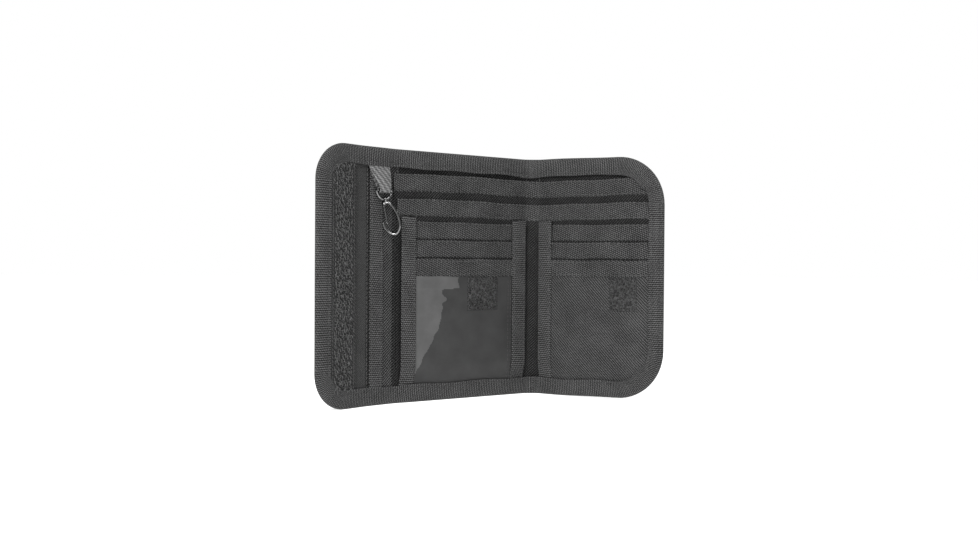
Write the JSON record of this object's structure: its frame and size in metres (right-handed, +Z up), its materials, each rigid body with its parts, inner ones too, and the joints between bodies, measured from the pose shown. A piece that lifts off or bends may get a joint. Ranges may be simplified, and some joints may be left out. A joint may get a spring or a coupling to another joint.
{
  "type": "trifold wallet",
  "caption": "Folding fabric wallet with a middle panel, a right panel, a side gusset with a closing flap, stepped card pockets, note dividers and a key hook.",
  "frame": {"origin": "centre of the middle panel, at the underside of its bottom binding, where it stands", "axes": "+Z up along the folds, +X along the middle panel towards the spine and the right panel, -Y out of the card pockets"},
  "size_m": [0.1631, 0.0741, 0.1266],
  "materials": {
    "nylon_cloth": "matt plain-woven nylon",
    "lining_cloth": "matt woven lining",
    "binding_tape": "ribbed woven tape",
    "stiffener_board": "plain sheet",
    "hook_tape": "moulded hooks on woven tape",
    "loop_tape": "brushed loops",
    "strap_tape": "smooth woven tape",
    "window_film": "clear glossy film over dark cloth",
    "steel": "dark plated wire",
    "zip_coil": "satin"
  },
  "bodies": {
    "middle_panel": {"middle_shell": "nylon_cloth", "middle_stiffener": "stiffener_board", "middle_lining": "lining_cloth", "middle_binding_top": "binding_tape", "middle_binding_bottom": "binding_tape", "middle_divider_a": "lining_cloth", "middle_divider_b": "lining_cloth", "middle_card_pocket_1": "lining_cloth", "middle_card_pocket_1_tape": "binding_tape", "middle_card_pocket_2": "lining_cloth", "middle_card_pocket_2_tape": "binding_tape", "window_film": "window_film", "window_band": "binding_tape", "middle_loop_patch": "loop_tape", "middle_hook_patch": "hook_tape", "middle_side_tape_left": "binding_tape", "middle_side_tape_right": "binding_tape", "spine_seam_left": "nylon_cloth", "gusset_seam_inner": "nylon_cloth"},
    "spine": {"spine_shell": "nylon_cloth", "spine_lining": "lining_cloth", "spine_binding_top": "binding_tape", "spine_binding_bottom": "binding_tape", "spine_seam_right": "nylon_cloth"},
    "right_panel": {"right_shell": "nylon_cloth", "right_stiffener": "stiffener_board", "right_lining": "lining_cloth", "right_binding": "binding_tape", "right_divider_a": "lining_cloth", "right_divider_b": "lining_cloth", "right_card_pocket_1": "lining_cloth", "right_card_pocket_1_tape": "binding_tape", "right_card_pocket_2": "lining_cloth", "right_card_pocket_2_tape": "binding_tape", "right_pocket_3": "nylon_cloth", "right_pocket_3_band": "binding_tape", "right_loop_patch": "loop_tape", "right_hook_patch": "hook_tape", "right_side_tape": "binding_tape", "coin_pocket_panel": "nylon_cloth", "coin_zip_tape": "binding_tape", "coin_zip_chain": "zip_coil", "back_loop_tape_upper": "loop_tape", "back_loop_tape_lower": "loop_tape"},
    "gusset": {"gusset_shell": "nylon_cloth", "gusset_lining": "lining_cloth", "gusset_binding_top": "binding_tape", "gusset_binding_bottom": "binding_tape", "gusset_hem_tape": "binding_tape", "key_strap": "strap_tape", "gusset_seam_outer": "nylon_cloth"},
    "flap": {"flap_shell": "nylon_cloth", "flap_lining": "lining_cloth", "flap_binding": "binding_tape", "flap_hook_tape": "hook_tape"},
    "key_ring": {"key_ring": "steel"},
    "snap_hook": {"snap_hook": "steel"},
    "snap_gate": {"snap_gate": "steel"},
    "zip_slider": {"zip_slider": "steel"},
    "zip_puller": {"zip_puller": "steel"}
  },
  "joints": [
    {"name": "spine_fold", "type": "hinge", "parent": "middle_panel", "child": "spine", "pos_m": [0.0395, -0.00085, 0.0633], "axis": [0, 0, -1], "range_deg": [-34.15, 55.85]},
    {"name": "right_fold", "type": "hinge", "parent": "spine", "child": "right_panel", "pos_m": [0.04562, -0.005, 0.0633], "axis": [0, 0, -1], "range_deg": [-34.15, 55.85]},
    {"name": "gusset_fold", "type": "hinge", "parent": "middle_panel", "child": "gusset", "pos_m": [-0.0395, -0.00085, 0.0633], "axis": [0, 0, 1], "range_deg": [-9, 81]},
    {"name": "flap_fold", "type": "hinge", "parent": "gusset", "child": "flap", "pos_m": [-0.05777, -0.00374, 0.0633], "axis": [0, 0, 1], "range_deg": [-7.1, 93.9]},
    {"name": "ring_swing", "type": "hinge", "parent": "gusset", "child": "key_ring", "pos_m": [-0.04868, -0.00423, 0.10545], "axis": [0.9877, 0.1564, 0], "range_deg": [-75, 0]},
    {"name": "hook_swing", "type": "hinge", "parent": "key_ring", "child": "snap_hook", "pos_m": [-0.04868, -0.00423, 0.10085], "axis": [0.9877, 0.1564, 0], "range_deg": [-75, 0]},
    {"name": "gate_press", "type": "hinge", "parent": "snap_hook", "child": "snap_gate", "pos_m": [-0.04884, -0.00411, 0.09771], "axis": [-0.6293, -0.7771, 0], "range_deg": [0, 18], "stiffness_Nm_per_rad": 0.002},
    {"name": "zip_slide", "type": "slide", "parent": "right_panel", "child": "zip_slider", "axis": [-0.3697, 0.9291, 0], "range_m": [-0.048, 0]},
    {"name": "puller_swing", "type": "hinge", "parent": "zip_slider", "child": "zip_puller", "pos_m": [0.05424, -0.01341, 0.0545], "axis": [0.3697, -0.9291, 0], "range_deg": [0, 80]}
  ],
  "couplings": [
    {"joint": "right_fold", "follows": "spine_fold", "ratio": 1}
  ]
}
